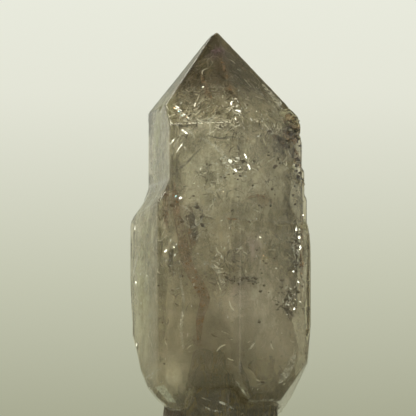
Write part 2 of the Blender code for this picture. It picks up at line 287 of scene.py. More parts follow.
# Brown iron-stained bands: path of (across, up), width and depth.
IRON_BANDS = [
    (LONG_BAND, 2.2, 1.1),
    ([(-5.3, 57.0), (-4.9, 53.0), (-4.3, 49.0)], 1.9, 1.3),
    ([(-9.6, 62.0), (-9.9, 57.0), (-9.4, 52.0)], 1.3, 0.9),
    ([(17.4, 56.0), (17.3, 50.0), (17.2, 44.0), (17.0, 37.0)], 0.9, 0.5),
    ([(5.6, 58.0), (7.8, 59.0), (10.0, 58.6), (12.0, 57.2)], 0.7, 1.2),
    ([(2.2, 54.5), (3.6, 54.4), (5.0, 54.5)], 0.5, 0.9),
    ([(-3.0, 84.0), (-1.8, 80.4), (-0.6, 78.4)], 0.8, 0.9),
    ([(11.2, 71.4), (13.0, 70.2), (14.8, 68.0)], 1.0, 0.9),
    ([(0.9, 87.0), (1.8, 84.5), (2.2, 82.5)], 0.7, 0.9),
    ([(3.0, 81.5), (4.0, 79.2), (5.0, 77.2)], 0.9, 0.9),
    ([(-5.3, 88.0), (-6.2, 85.0), (-7.2, 82.0)], 1.0, 1.2),
    ([(17.0, 73.0), (16.2, 71.5), (15.6, 69.0)], 1.4, 0.5),
    ([(14.0, 75.4), (15.6, 74.0), (16.8, 72.2)], 1.8, 0.4),
    ([(13.4, 71.6), (14.8, 70.8), (16.4, 70.6)], 1.8, 0.5),
    ([(15.6, 68.4), (16.4, 66.6), (17.0, 64.6)], 1.6, 0.5),
]

# Dark healed cracks: path of (across, up), width and depth.
DARK_CRACKS = [
    ([(-7.9, 64.0), (-6.0, 65.4), (-4.5, 67.0), (-2.9, 68.6)], 0.45, 0.8),
    ([(-1.5, 71.2), (1.0, 70.6), (3.4, 70.9), (5.0, 70.4)], 0.35, 1.0),
    ([(0.6, 90.4), (1.6, 88.0), (2.0, 85.8), (2.8, 83.0)], 0.40, 0.6),
    ([(3.6, 86.0), (4.6, 84.6), (6.0, 83.6)], 0.60, 0.7),
    ([(3.2, 84.4), (4.8, 83.0), (6.6, 81.4)], 0.50, 0.8),
    ([(-9.0, 73.6), (-6.5, 73.0), (-4.0, 73.4)], 0.30, 1.0),
    ([(1.9, 43.0), (3.2, 42.0), (4.0, 42.6)], 0.45, 0.9),
    ([(5.6, 43.4), (6.6, 42.2), (8.2, 41.8)], 0.40, 0.9),
    ([(13.0, 37.0), (14.2, 36.0), (14.8, 34.4)], 0.40, 0.7),
    ([(-4.9, 55.6), (-4.3, 52.6), (-3.7, 49.6)], 1.5, 1.0),
    ([(-8.6, 48.4), (-8.9, 45.6), (-8.4, 42.8)], 0.9, 0.9),
    ([(-1.9, 26.0), (-3.6, 24.5), (-4.3, 22.5), (-4.9, 19.8), (-6.6, 16.8)], 0.45, 0.3),
    ([(-4.3, 21.9), (-1.0, 21.8), (2.0, 22.0), (4.2, 22.2)], 0.22, 0.3),
    ([(-4.6, 20.9), (-1.0, 20.7), (2.0, 20.7), (4.4, 20.9)], 0.22, 0.3),
    ([(4.9, 26.0), (5.3, 24.2), (6.2, 22.4), (6.8, 20.4)], 0.90, 0.4),
    ([(3.2, 86.0), (4.5, 84.6), (5.8, 83.6), (7.0, 82.6)], 1.70, 0.7),
    ([(4.4, 82.4), (5.6, 81.0), (7.0, 80.0)], 1.00, 0.8),
    ([(7.6, 81.8), (9.2, 79.8), (10.6, 78.2)], 0.80, 0.6),
    ([(13.4, 72.8), (14.8, 72.4), (16.4, 71.0)], 2.60, 0.6),
    ([(11.8, 71.0), (13.2, 70.2), (14.4, 69.0)], 1.50, 0.7),
    ([(15.2, 69.0), (16.0, 67.2), (16.6, 65.2)], 1.80, 0.6),
]

# Pale wisps and healed films: path of (across, up), width and depth.
PALE_WISPS = [
    ([(-8.0, 73.0), (-5.0, 74.6), (-2.0, 73.6), (0.5, 75.8)], 1.0, 1.3),
    ([(-8.6, 67.0), (-7.6, 70.4), (-5.6, 72.2), (-4.0, 70.6)], 0.6, 0.9),
    ([(-3.4, 71.0), (0.0, 69.0), (2.4, 66.4), (4.4, 63.6)], 0.8, 1.2),
    ([(1.0, 62.2), (2.4, 63.8), (3.8, 65.2)], 0.5, 1.0),
    ([(9.0, 74.6), (10.6, 72.8), (12.0, 70.8)], 0.8, 0.9),
    ([(-2.2, 60.4), (-0.4, 59.8), (1.4, 60.6)], 0.7, 1.1),
    ([(-6.6, 54.6), (-5.2, 52.8), (-3.6, 53.2), (-2.4, 55.0)], 0.5, 1.0),
    ([(-7.4, 44.6), (-6.4, 38.0), (-6.8, 32.0), (-6.0, 27.0)], 0.6, 1.5),
    ([(-2.4, 46.0), (0.4, 44.2), (1.6, 40.6), (0.8, 36.8)], 1.0, 2.0),
    ([(10.8, 80.2), (12.2, 78.2), (13.6, 76.4)], 1.0, 0.7),
    ([(8.2, 81.0), (10.4, 78.4), (12.4, 76.0)], 0.6, 0.8),
    ([(6.4, 28.0), (7.4, 29.0), (8.2, 30.6)], 0.4, 0.6),
    ([(16.0, 28.0), (14.6, 24.4), (12.6, 21.6)], 1.6, 0.6),
    ([(9.4, 81.6), (11.4, 79.4), (13.2, 77.2)], 1.2, 0.5),
    ([(-6.9, 57.2), (-5.4, 56.2), (-4.1, 55.2)], 0.40, 0.7),
    ([(-1.9, 53.4), (-2.8, 51.8), (-3.9, 50.2)], 0.45, 0.7),
    ([(4.3, 22.0), (5.6, 20.0), (6.9, 18.0)], 0.40, 0.2),
    ([(6.9, 18.1), (10.0, 18.0), (13.1, 18.1)], 0.30, 0.2),
    ([(-14.0, 22.6), (-12.4, 23.6), (-10.8, 24.6)], 0.35, 0.3),
    ([(0.0, 18.2), (2.0, 17.4), (3.9, 16.2)], 0.45, 0.5),
    ([(-2.4, 17.0), (-0.6, 16.2), (1.2, 15.9)], 0.40, 0.5),
]

# The painted highlight on the small facet at the foot of the left lobe, corner by corner: across and up.
LOBE_HIGHLIGHT = [(-12.0, 20.8), (-10.2, 21.3), (-7.8, 17.7), (-9.3, 17.9)]
LOBE_HIGHLIGHT_DEPTH = 0.2
LOBE_HIGHLIGHT_THICKNESS = 0.03

# Fields of short healed cracks: across, up, reach across, reach up, and the count of pale ones, painted as
# lit, and of dark ones, painted as shaded.
CRACKLE_FIELDS = [
    (-5.5, 75.6, 3.0, 2.4, 26, 20),
    (3.5, 77.0, 3.0, 3.0, 34, 22),
    (-0.5, 73.0, 7.0, 3.5, 34, 26),
    (3.8, 65.5, 3.4, 3.0, 34, 22),
    (10.0, 73.0, 4.0, 4.0, 14, 20),
    (15.2, 70.0, 1.6, 5.0, 16, 40),
    (-1.0, 61.5, 5.0, 3.5, 26, 16),
    (-4.0, 55.0, 2.6, 3.5, 16, 20),
    (16.6, 49.5, 1.2, 6.5, 30, 34),
    (14.4, 38.0, 2.0, 3.0, 16, 30),
    (2.6, 45.0, 4.5, 4.5, 12, 26),
    (9.0, 60.0, 5.0, 8.0, 20, 20),
    (4.4, 83.6, 2.0, 2.6, 6, 34),
    (-6.0, 82.0, 3.0, 3.0, 2, 8),
]

# How many flakes, grains and cracks of each kind are strewn all round the crystal, the heights between which
# they lie, and how far out in metres a ray starts that finds the surface.
STREWN_FLAKES = 240
STREWN_GRAINS = 260
STREWN_CRACKS = 220
STREWN_HEIGHTS = (4.0, 80.0)
RAY_START = 0.05

# The older smoky crystal that the head has grown round: azimuth, distance and lean of each prism face.
PHANTOM_FACES = [
    (-16.0, 12.2, 1.0),
    (44.0, 11.2, 0.5),
    (104.0, 9.9, 0.5),
    (164.0, 10.8, 1.5),
    (-136.0, 8.3, 6.0),
    (-76.0, 7.8, 6.5),
]

# The tilt of its tip faces in degrees, and the heights of its foot, of where the distances hold and of its
# shoulder.
PHANTOM_TILT = 38.2
PHANTOM_FOOT = 0.8
PHANTOM_LEVEL = 17.0
PHANTOM_SHOULDER = 27.0

# The painted shade on the stem, a dark sheet: the azimuth and elevation that it faces, and how squarely a
# place has to face there.
STEM_SHADE_FACING = (-76.0, 6.5)
STEM_SHADE_SQUARENESS = 0.86

# The heights of its foot and top, how ragged its top is, how far back it goes and how far it stands out.
STEM_SHADE_FOOT = 0.5
STEM_SHADE_TOP = 17.6
STEM_SHADE_RAGGED = 1.4
STEM_SHADE_BACK = 7.0
STEM_SHADE_RISE = 0.04

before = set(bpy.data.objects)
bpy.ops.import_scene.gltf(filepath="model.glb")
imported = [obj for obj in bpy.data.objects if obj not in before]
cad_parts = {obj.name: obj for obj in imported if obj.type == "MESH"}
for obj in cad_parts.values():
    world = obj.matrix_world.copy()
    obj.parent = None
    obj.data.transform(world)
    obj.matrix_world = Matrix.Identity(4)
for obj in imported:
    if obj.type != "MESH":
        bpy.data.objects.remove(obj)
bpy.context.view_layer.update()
cad_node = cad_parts["amethyst_crystal"]
surface = BVHTree.FromObject(cad_node, bpy.context.evaluated_depsgraph_get())

camera_aim = Vector((C_AXIS[0] + CAMERA_ACROSS, C_AXIS[1], CAMERA_AIM_HEIGHT)) * MM
camera_way = Vector((0.0, -math.cos(CAMERA_PITCH), -math.sin(CAMERA_PITCH)))
camera_place = camera_aim + camera_way * CAMERA_DISTANCE * MM


def new_material(name):
    """A node material and its Principled shader."""
    material = bpy.data.materials.new(name)
    material.use_nodes = True
    shader = material.node_tree.nodes["Principled BSDF"]
    return material, shader


def add_node(tree, kind, inputs=None, **settings):
    """A node of this kind with its settings and its inputs, each a value or a socket to link."""
    made = tree.nodes.new(kind)
    for key, value in settings.items():
        setattr(made, key, value)
    for key, value in (inputs or {}).items():
        if isinstance(value, bpy.types.NodeSocket):
            tree.links.new(value, made.inputs[key])
        else:
            made.inputs[key].default_value = value
    return made


def place_in_object(tree, stretch=(1.0, 1.0, 1.0)):
    """Object coordinates in millimetres, stretched along each axis."""
    coordinates = add_node(tree, "ShaderNodeTexCoord")
    scale = tuple(s / MM for s in stretch)
    mapping = add_node(tree, "ShaderNodeMapping", {"Vector": coordinates.outputs["Object"], "Scale": scale})
    return mapping.outputs["Vector"]


def add_noise(tree, place, scale, detail=3.0, roughness=0.55, distortion=0.0):
    """The value of a noise with this many waves per millimetre."""
    inputs = {"Vector": place, "Scale": scale, "Detail": detail}
    inputs.update({"Roughness": roughness, "Distortion": distortion})
    return add_node(tree, "ShaderNodeTexNoise", inputs).outputs["Fac"]


def remap(tree, value, low, high, to_low, to_high):
    """The value, taken from one range to another and held inside it."""
    inputs = {"Value": value, "From Min": low, "From Max": high, "To Min": to_low, "To Max": to_high}
    return add_node(tree, "ShaderNodeMapRange", inputs).outputs["Result"]


def calculate(tree, operation, first, second):
    """One sum, product or the like of two values."""
    return add_node(tree, "ShaderNodeMath", {0: first, 1: second}, operation=operation).outputs[0]


def vector_sum(tree, operation, *values):
    """One sum, product or the like of vectors."""
    made = add_node(tree, "ShaderNodeVectorMath", dict(enumerate(values)), operation=operation)
    return made.outputs["Vector"]


def vector_length(tree, vector):
    """The length of a vector."""
    return add_node(tree, "ShaderNodeVectorMath", {0: vector}, operation="LENGTH").outputs["Value"]


def blend_colours(tree, factor, first, second):
    """A mix of two colours by a factor. A colour is a socket, or red, green and blue."""
    first, second = (c if isinstance(c, bpy.types.NodeSocket) else (*c, 1.0) for c in (first, second))
    return add_node(tree, "ShaderNodeMix", {0: factor, 6: first, 7: second}, data_type="RGBA").outputs[2]


def bump(tree, height, distance, normal=None):
    """A normal from a height field, whose full range is this many millimetres."""
    inputs = {"Height": height, "Distance": distance * MM}
    if normal is not None:
        inputs["Normal"] = normal
    return add_node(tree, "ShaderNodeBump", inputs).outputs["Normal"]


def crystal_material():
    """Smoky quartz: plain transmission and absorption, with etch marks, growth lines and stains."""
    material, shader = new_material("smoky_quartz")
    tree = material.node_tree
    place = place_in_object(tree)
    lying = place_in_object(tree, (0.25, 0.25, 1.0))
    upright = place_in_object(tree, (1.0, 1.0, 0.12))

    mottle = add_noise(tree, place, 0.32, detail=5.0, roughness=0.62)
    frost = add_noise(tree, place, 0.11, roughness=0.5)
    polished = remap(tree, mottle, 0.35, 0.7, 0.02, 0.09)
    etched = remap(tree, frost, 0.52, 0.70, 0.0, 0.08)
    tree.links.new(calculate(tree, "ADD", polished, etched), shader.inputs["Roughness"])

    zoning = remap(tree, add_noise(tree, lying, 0.16, detail=2.0), 0.35, 0.65, 0.0, 1.0)
    colour = blend_colours(tree, zoning, CLEAR_QUARTZ, SMOKY_QUARTZ)
    patches = add_noise(tree, place, 0.45, detail=4.0, roughness=0.6, distortion=0.6)
    stain = remap(tree, patches, 0.66, 0.74, 0.0, 0.65)
    colour = blend_colours(tree, stain, colour, IRON_STAIN)
    tree.links.new(colour, shader.inputs["Base Color"])

    ripple = add_noise(tree, place, 0.55, roughness=0.5)
    growth_lines = add_noise(tree, lying, 1.5, detail=2.0)
    streaks = add_noise(tree, upright, 1.1, detail=2.0)
    normal = bump(tree, ripple, 0.050)
    normal = bump(tree, growth_lines, 0.014, normal)
    normal = bump(tree, streaks, 0.018, normal)
    tree.links.new(normal, shader.inputs["Normal"])

    shader.inputs["IOR"].default_value = QUARTZ_IOR
    shader.inputs["Transmission Weight"].default_value = 1.0
    inputs = {"Color": (*SMOKE_COLOUR, 1.0), "Density": SMOKE_DENSITY}
    smoke = add_node(tree, "ShaderNodeVolumeAbsorption", inputs)
    tree.links.new(smoke.outputs[0], tree.nodes["Material Output"].inputs["Volume"])
    return material


def veil_material(name, colour, other, scale, thin, thick, most, roughness=0.5, stretch=(1.0, 1.0, 1.0)):
    """A film of healed cracks: a cloudy, see-through colour that comes and goes in fine grains.

    Its cloud has this many waves per millimetre. It is clear where the noise is below thin, and hides as
    much as most says where the noise is above thick.
    """
    material, shader = new_material(name)
    tree = material.node_tree
    place = place_in_object(tree, stretch)
    cloud = add_noise(tree, place, scale, detail=6.0, roughness=0.68, distortion=0.4)
    grain = add_noise(tree, place, scale * 5.0, roughness=0.7)
    share = remap(tree, cloud, thin, thick, 0.0, most)
    grains = remap(tree, grain, 0.38, 0.62, 0.25, 1.0)
    tree.links.new(calculate(tree, "MULTIPLY", share, grains), shader.inputs["Alpha"])
    tree.links.new(blend_colours(tree, grain, colour, other), shader.inputs["Base Color"])
    shader.inputs["Roughness"].default_value = roughness
    return material


def flake_material(name, colour, other, scale):
    """A cleavage film that mirrors light, with a tint that shifts along it."""
    material, shader = new_material(name)
    tree = material.node_tree
    place = place_in_object(tree)
    tint = remap(tree, add_noise(tree, place, scale, detail=2.0), 0.4, 0.6, 0.0, 1.0)
    frost = remap(tree, add_noise(tree, place, 3.0, detail=2.0), 0.3, 0.7, 0.18, 0.5)
    tree.links.new(blend_colours(tree, tint, colour, other), shader.inputs["Base Color"])
    tree.links.new(frost, shader.inputs["Roughness"])
    shader.inputs["Metallic"].default_value = 1.0
    return material


def speck_material(name, colour, other):
    """Dark mineral grains and old pores."""
    material, shader = new_material(name)
    tree = material.node_tree
    tint = add_noise(tree, place_in_object(tree), 2.0)
    tree.links.new(blend_colours(tree, tint, colour, other), shader.inputs["Base Color"])
    shader.inputs["Roughness"].default_value = 0.55
    return material


def set_camera():
    """The photograph's view: from in front, a little below the middle, looking slightly up."""
    data = bpy.data.cameras.new("photo_camera")
    data.lens = CAMERA_LENS
    data.sensor_width = SENSOR_WIDTH
    data.clip_start = 0.01
    data.clip_end = 20.0
    camera = bpy.data.objects.new("photo_camera", data)
    bpy.context.scene.collection.objects.link(camera)
    camera.location = camera_place
    camera.rotation_mode = "QUATERNION"
    camera.rotation_quaternion = (-camera_way).to_track_quat("-Z", "Y")
    bpy.context.scene.camera = camera


def set_world():
    """A pale backdrop that darkens towards the horizon, all the way round."""
    world = bpy.data.worlds.new("studio")
    bpy.context.scene.world = world
    world.use_nodes = True
    tree = world.node_tree
    direction = add_node(tree, "ShaderNodeTexCoord").outputs["Generated"]
    rise = add_node(tree, "ShaderNodeSeparateXYZ", {0: direction}).outputs["Z"]
    lowest = BACKDROP[0][0]
    ramp = add_node(tree, "ShaderNodeValToRGB", {"Fac": remap(tree, rise, lowest, 1.0, 0.0, 1.0)})
    elements = ramp.color_ramp.elements
    while len(elements) < len(BACKDROP):
        elements.new(0.5)
    for element, (height, colour) in zip(elements, BACKDROP):
        element.position = (height - lowest) / (1.0 - lowest)
        element.color = (*colour, 1.0)
    background = tree.nodes["Background"]
    tree.links.new(ramp.outputs["Color"], background.inputs["Color"])
    background.inputs["Strength"].default_value = 1.0


def way_to(azimuth, elevation):
    """The direction with this azimuth, 0 in front and 90 on the right, and this elevation, in degrees."""
    turn, rise = math.radians(azimuth), math.radians(elevation)
    return Vector((math.sin(turn) * math.cos(rise), -math.cos(turn) * math.cos(rise), math.sin(rise)))


def add_softbox(name, azimuth, elevation, distance, size, power):
    """A rectangular soft light aimed at the crystal's middle."""
    data = bpy.data.lights.new(name, "AREA")
    data.shape = "RECTANGLE"
    data.size, data.size_y = size
    data.energy = power
    data.color = LIGHT_TINT
    lamp = bpy.data.objects.new(name, data)
    bpy.context.scene.collection.objects.link(lamp)
    out = way_to(azimuth, elevation)
    lamp.location = Vector((0.0, 0.0, LIGHT_AIM_HEIGHT * MM)) + out * distance
    lamp.rotation_mode = "QUATERNION"
    lamp.rotation_quaternion = out.to_track_quat("Z", "Y")
    lamp.visible_camera = False


def add_floor():
    """A plain pale round floor that fades out at its rim."""
    mesh = bpy.data.meshes.new("floor")
    shape = bmesh.new()
    bmesh.ops.create_circle(shape, cap_ends=True, radius=FLOOR_RADIUS, segments=96)
    shape.to_mesh(mesh)
    shape.free()
    floor = bpy.data.objects.new("floor", mesh)
    floor.location.z = -FLOOR_DROP * MM
    bpy.context.scene.collection.objects.link(floor)
    material, shader = new_material("pale_floor")
    tree = material.node_tree
    reach = vector_length(tree, add_node(tree, "ShaderNodeTexCoord").outputs["Object"])
    tree.links.new(remap(tree, reach, FLOOR_FADE, FLOOR_RADIUS, 1.0, 0.0), shader.inputs["Alpha"])
    shader.inputs["Base Color"].default_value = (*FLOOR_COLOUR, 1.0)
    shader.inputs["Roughness"].default_value = 0.7
    mesh.materials.append(material)


def evened(mesh, voxel, rounding=0):
    """The mesh rebuilt from even faces of this size in millimetres, its edges worn by about a face."""
    scratch = bpy.data.objects.new("scratch", mesh)
    bpy.context.scene.collection.objects.link(scratch)
    remesh = scratch.modifiers.new("even", "REMESH")
    remesh.mode = "VOXEL"
    remesh.voxel_size = voxel * MM
    remesh.use_smooth_shade = True
    if rounding:
        scratch.modifiers.new("rounding", "SMOOTH").iterations = rounding
    bpy.context.view_layer.update()
    graph = bpy.context.evaluated_depsgraph_get()
    made = bpy.data.meshes.new_from_object(scratch.evaluated_get(graph))
    bpy.data.objects.remove(scratch)
    return made


def place_piece(name, mesh, material):
    """A piece of the crystal, in the row frame, with its one material."""
    mesh.name = name
    mesh.materials.clear()
    mesh.materials.append(material)
    piece = bpy.data.objects.new(name, mesh)
    bpy.context.scene.collection.objects.link(piece)
    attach(piece, "root")
    return piece


def relief(point, normal):
    """How far the skin stands out at a place, in millimetres. The flat cut under the foot stays as it is."""
    if point.z < 1.5 * VOXEL:
        return 0.0
    level = noise.noise(Vector((point.x * 0.05, point.y * 0.05, point.z * 0.9)))
    fine = noise.noise(Vector((point.x * 0.10, point.y * 0.10, point.z * 2.3 + 40.0)))
    upright = 1.0 - min(1.0, abs(normal.z) / 0.25)
    swell = noise.noise(point * 0.16)
    grain = noise.noise(point * 0.9 + Vector((7.0, 3.0, 1.0)))
    lines = upright * (GROWTH_LINES * level + FINE_LINES * fine)
    return lines + SLOW_WAVES * swell + ETCHED_GRAIN * grain - SKIN_INSET


def make_skin():
    """The crystal's outer surface."""
    mesh = evened(cad_node.data.copy(), VOXEL)
    push(mesh, relief)
    skin = place_piece("crystal_skin", mesh, crystal_material())
    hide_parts("amethyst_crystal")


def push(mesh, height):
    """Moves each vertex along its normal by height(place, normal) millimetres."""
    count = len(mesh.vertices)
    points = np.empty(count * 3)
    normals = np.empty(count * 3)
    mesh.vertices.foreach_get("co", points)
    mesh.vertices.foreach_get("normal", normals)
    points = points.reshape(-1, 3)
    normals = normals.reshape(-1, 3)
    rise = np.array([height(Vector(p) / MM, Vector(n)) for p, n in zip(points, normals)])
    points += normals * (rise * MM)[:, None]
    mesh.vertices.foreach_set("co", points.ravel())
    mesh.update()


def refract(ray, normal):
    """The direction of a ray after it enters the quartz."""
    ratio = 1.0 / QUARTZ_IOR
    slope = -ray.dot(normal)
    straight = math.sqrt(1.0 - ratio * ratio * (1.0 - slope * slope))
    return ray * ratio + normal * (ratio * slope - straight)


def sight_line(across, up):
    """Where the photograph's line of sight to a place meets the surface, its way on inside, and the normal.

    A place beside the crystal's outline is brought in to it, and near the tip down to it.
    """
    hit = None
    while hit is None:
        target = Vector((C_AXIS[0] + across, C_AXIS[1], up)) * MM
        ray = (target - camera_place).normalized()
        hit, normal, _, _ = surface.ray_cast(camera_place, ray)
        across *= STEP_INWARD
        up -= STEP_DOWN if up > STEP_DOWN_ABOVE else 0.0
    return hit, refract(ray, normal), normal


def inside(across, up, depth):
    """The point the photograph shows at this place, so far below the surface."""
    hit, ray, _ = sight_line(across, up)
    return hit + ray * depth * MM


def depth_of(point):
    """How far a point lies below the nearest surface, in millimetres, or less than 0 outside."""
    near, normal, _, gap = surface.find_nearest(point)
    return gap / MM if (near - point).dot(normal) > 0 else -gap / MM


def random_inside(dice, least, most):
    """A random point between these depths below a random place on the surface."""
    while True:
        turn = dice.uniform(0.0, 2.0 * math.pi)
        height = dice.uniform(*STREWN_HEIGHTS) * MM
        out = Vector((math.cos(turn), math.sin(turn), 0.0))
        start = Vector((C_AXIS[0] * MM, C_AXIS[1] * MM, height)) + out * RAY_START
        hit, normal, _, _ = surface.ray_cast(start, -out)
        if hit is None:
            continue
        point = hit - normal * dice.uniform(least, most) * MM
        if depth_of(point) > 0.7 * least:
            return point


class Growth:
    """Gathers the vertices and faces of one piece."""

    def __init__(self):
        self.points = []
        self.faces = []

    def add(self, points, faces):
        """Adds one more body, whose faces count its own points from 0."""
        start = len(self.points)
        self.points += [tuple(p) for p in points]
        self.faces += [tuple(start + i for i in face) for face in faces]

    def finish(self, name, material, smooth=True):
        """Makes the piece."""
        mesh = bpy.data.meshes.new(name)
        mesh.from_pydata(self.points, [], self.faces)
        mesh.polygons.foreach_set("use_smooth", [smooth] * len(mesh.polygons))
        mesh.update()
        place_piece(name, mesh, material)


def frame_of(normal):
    """Two directions square to a normal, the second one as upright as it can be."""
    side = Vector((0.0, 0.0, 1.0)).cross(normal)
    if side.length < 1e-3:
        side = Vector((1.0, 0.0, 0.0))
    side.normalize()
    return side, normal.cross(side).normalized()


def add_veil(growth, centre, normal, reach, seed):
    """A thin wavy disc round a centre, drawn in wherever it would come out of the crystal."""
    side, rise = frame_of(normal)
    spokes, rings = 48, 16
    points = [centre]
    lengths = []
    for s in range(spokes):
        turn = 2.0 * math.pi * s / spokes
        way = side * math.cos(turn) + rise * math.sin(turn)
        length = reach * (1.0 + 0.35 * noise.noise(Vector((math.cos(turn), math.sin(turn), seed)) * 1.3))
        while length > 0.6 and depth_of(centre + way * length * MM) < VEIL_MARGIN + VEIL_WAVE * 0.6:
            length *= 0.93
        lengths.append((way, length))
    for r in range(1, rings + 1):
        for way, length in lengths:
            flat = centre + way * length * MM * (r / rings)
            shift = noise.noise(flat / MM * 0.12 + Vector((seed, 0.0, 0.0)))
            shift += 0.4 * noise.noise(flat / MM * 0.4 + Vector((0.0, seed, 0.0)))
            points.append(flat + normal * shift * VEIL_WAVE * MM)
    faces = [(0, 1 + s, 1 + (s + 1) % spokes) for s in range(spokes)]
    for r in range(rings - 1):
        inner, outer = 1 + r * spokes, 1 + (r + 1) * spokes
        for s in range(spokes):
            t = (s + 1) % spokes
            faces.append((inner + s, outer + s, outer + t, inner + t))
    growth.add(points, faces)


def smooth_path(knots, steps):
    """Places on a smooth curve through the knots, each with the way to the next knot there."""
    places = []
    for i in range(steps + 1):
        reached = i / steps * (len(knots) - 1)
        k = min(int(reached), len(knots) - 2)
        share = reached - k
        before, after = knots[max(k - 1, 0)], knots[min(k + 2, len(knots) - 1)]
        a, b = knots[k], knots[k + 1]
        point = 0.5 * (
            2 * a
            + (b - before) * share
            + (2 * before - 5 * a + 4 * b - after) * share ** 2
            + (3 * a - before - 3 * b + after) * share ** 3
        )
        places.append((point, (b - a).normalized()))
    return places


def add_ribbon(growth, path, width, lean, wave, seed, steps=60, strands=9):
    """A wavy band of the given width that follows a path of points and leans into the crystal."""
    points = []
    for i, (middle, along) in enumerate(smooth_path(path, steps)):
        across = along.cross(lean).normalized()
        taper = math.sin(math.pi * min(max(i / steps, 0.02), 0.98)) ** 0.5
        for j in range(strands):
            offset = (j / (strands - 1) - 0.5) * width * taper
            place = middle / MM + across * offset
            shift = noise.noise(place * 0.5 + Vector((seed, 0.0, 0.0))) * wave
            points.append(middle + across * offset * MM + lean * shift * MM)
    faces = []
    for i in range(steps):
        for j in range(strands - 1):
            a = i * strands + j
            faces.append((a, a + 1, a + strands + 1, a + strands))
    growth.add(points, faces)


def add_flake(growth, centre, normal, length, width, turn, dice):
    """A flat film with an irregular outline, thin but closed."""
    side, rise = frame_of(normal)
    along = side * math.cos(turn) + rise * math.sin(turn)
    over = normal.cross(along)
    corners = dice.randint(6, 9)
    rim = []
    for c in range(corners):
        angle = 2.0 * math.pi * (c + dice.uniform(-0.3, 0.3)) / corners
        size = dice.uniform(0.45, 1.0)
        rim.append(along * math.cos(angle) * size * length / 2 + over * math.sin(angle) * size * width / 2)
    half = normal * FLAKE_HALF
    points = [centre + (p + half) * MM for p in rim] + [centre + (p - half) * MM for p in rim]
    faces = [tuple(range(corners)), tuple(reversed(range(corners, 2 * corners)))]
    for c in range(corners):
        d = (c + 1) % corners
        faces.append((c, corners + c, corners + d, d))
    growth.add(points, faces)


def unit_grain():
    """The points and faces of a faceted ball, from which every grain is made."""
    shape = bmesh.new()
    bmesh.ops.create_icosphere(shape, subdivisions=2, radius=1.0)
    points = [v.co.copy() for v in shape.verts]
    faces = [tuple(v.index for v in f.verts) for f in shape.faces]
    shape.free()
    return points, faces


GRAIN_POINTS, GRAIN_FACES = unit_grain()


def add_grain(growth, centre, size, squash, seed):
    """A lumpy grain or pore, flattened along a random direction."""
    turn = Matrix.Rotation(seed * 2.4, 3, "Z") @ Matrix.Rotation(seed * 1.7, 3, "X")
    points = []
    for p in GRAIN_POINTS:
        lump = 1.0 + 0.9 * noise.noise(p * 1.3 + Vector((seed, seed * 0.5, 0.0)))
        q = turn @ Vector((p.x, p.y * (0.5 + squash / 2), p.z * squash)) * lump * size / 2
        points.append(centre + q * MM)
    growth.add(points, GRAIN_FACES)


def soft_zone(tree, place, centre, reach):
    """1 at a centre and 0 beyond its reach along each axis, all in millimetres."""
    away = vector_sum(tree, "SUBTRACT", place, tuple(centre))
    length = vector_length(tree, vector_sum(tree, "DIVIDE", away, reach))
    inputs = {"Value": length, "From Min": 1.0, "From Max": 0.0, "To Min": 0.0, "To Max": 1.0}
    return add_node(tree, "ShaderNodeMapRange", inputs, interpolation_type="SMOOTHSTEP").outputs["Result"]


def crack_lines(tree, place, scale, width, shift):
    """Thin broken lines, as of healed cracks: 1 on a line and 0 beside it."""
    inputs = {"Vector": place, "Scale": 0.35, "Detail": 3.0}
    bend = add_node(tree, "ShaderNodeTexNoise", inputs).outputs["Color"]
    bent = vector_sum(tree, "MULTIPLY_ADD", bend, (5.0, 5.0, 5.0), place)
    moved = vector_sum(tree, "ADD", bent, (shift, shift, 0.0))
    inputs = {"Vector": moved, "Scale": scale, "Randomness": 1.0}
    cells = add_node(tree, "ShaderNodeTexVoronoi", inputs, feature="DISTANCE_TO_EDGE").outputs["Distance"]
    line = remap(tree, cells, 0.0, width, 1.0, 0.0)
    where = remap(tree, add_noise(tree, moved, 0.22, detail=2.0), 0.50, 0.60, 0.0, 1.0)
    return calculate(tree, "MULTIPLY", line, where)


def cloud_mottle(tree, place, shift):
    """The cloud's mottling: broad and middling patches, drawn out upwards, and fine ones."""
    tall = vector_sum(tree, "ADD", place_in_object(tree, (1.0, 1.0, 0.65)), (shift, 0.0, shift))
    broad = add_noise(tree, tall, 0.15, detail=2.0, roughness=0.5, distortion=0.3)
    middling = add_noise(tree, tall, 0.5, distortion=0.3)
    fine = add_noise(tree, place, 1.9, detail=4.0, roughness=0.65)
    mottle = calculate(tree, "MULTIPLY", broad, 0.42)
    mottle = calculate(tree, "ADD", mottle, calculate(tree, "MULTIPLY", middling, 0.38))
    return calculate(tree, "ADD", mottle, calculate(tree, "MULTIPLY", fine, 0.20))


